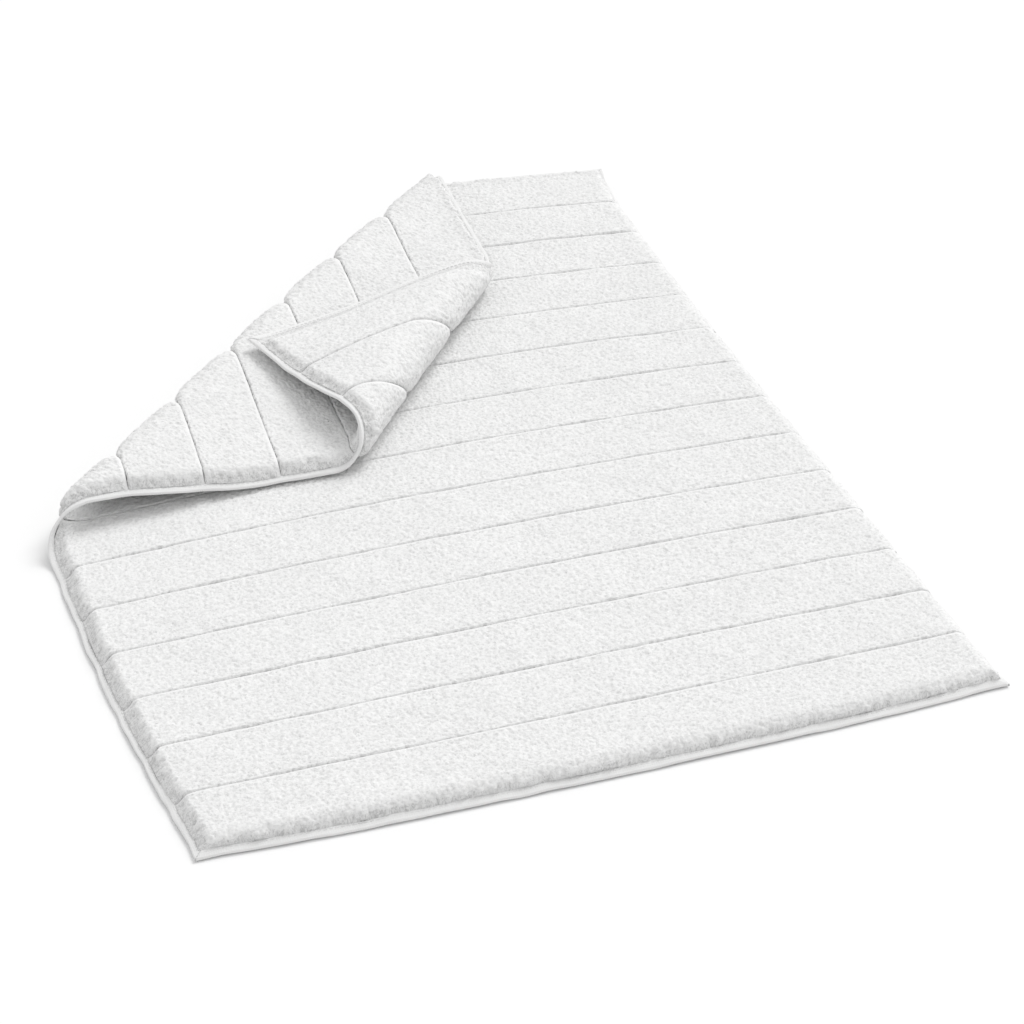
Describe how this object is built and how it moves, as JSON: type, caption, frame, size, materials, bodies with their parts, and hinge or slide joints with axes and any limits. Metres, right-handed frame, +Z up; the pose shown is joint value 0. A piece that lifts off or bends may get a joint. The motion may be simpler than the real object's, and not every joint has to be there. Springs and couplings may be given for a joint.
{
  "type": "bath mat",
  "caption": "Rectangular ribbed terry bath mat lying flat, with looped pile on both faces, turned hems all round, and one corner turned over with its tip turned back.",
  "frame": {"origin": "on the floor, under the middle of the mat's outline", "axes": "+X along the near short edge from left to right, +Y along the length from the near edge to the far edge, +Z up"},
  "size_m": [0.5014, 0.7018, 0.052],
  "materials": {
    "terry_pile": "uncut looped cotton pile, soft and matt",
    "ground_weave": "plain woven cotton, matt",
    "hem_cloth": "close woven cotton, matt with a slight sheen",
    "seam_thread": "spun sewing thread, slight sheen"
  },
  "bodies": {
    "root": {"ground_cloth": "ground_weave", "pile_rib_upper_01": "terry_pile", "pile_rib_upper_02": "terry_pile", "pile_rib_upper_03": "terry_pile", "pile_rib_upper_04": "terry_pile", "pile_rib_upper_05": "terry_pile", "pile_rib_upper_06": "terry_pile", "pile_rib_upper_07": "terry_pile", "pile_rib_upper_08": "terry_pile", "pile_rib_upper_09": "terry_pile", "pile_rib_upper_10": "terry_pile", "pile_rib_upper_11": "terry_pile", "pile_rib_upper_12": "terry_pile", "pile_rib_upper_13": "terry_pile", "pile_rib_upper_14": "terry_pile", "pile_rib_under_01": "terry_pile", "pile_rib_under_02": "terry_pile", "pile_rib_under_03": "terry_pile", "pile_rib_under_04": "terry_pile", "pile_rib_under_05": "terry_pile", "pile_rib_under_06": "terry_pile", "pile_rib_under_07": "terry_pile", "pile_rib_under_08": "terry_pile", "pile_rib_under_09": "terry_pile", "pile_rib_under_10": "terry_pile", "pile_rib_under_11": "terry_pile", "pile_rib_under_12": "terry_pile", "pile_rib_under_13": "terry_pile", "pile_rib_under_14": "terry_pile", "hem_near": "hem_cloth", "hem_far": "hem_cloth", "hem_left": "hem_cloth", "hem_right": "hem_cloth", "seam_near": "seam_thread", "seam_far": "seam_thread", "seam_left": "seam_thread", "seam_right": "seam_thread"}
  },
  "joints": []
}
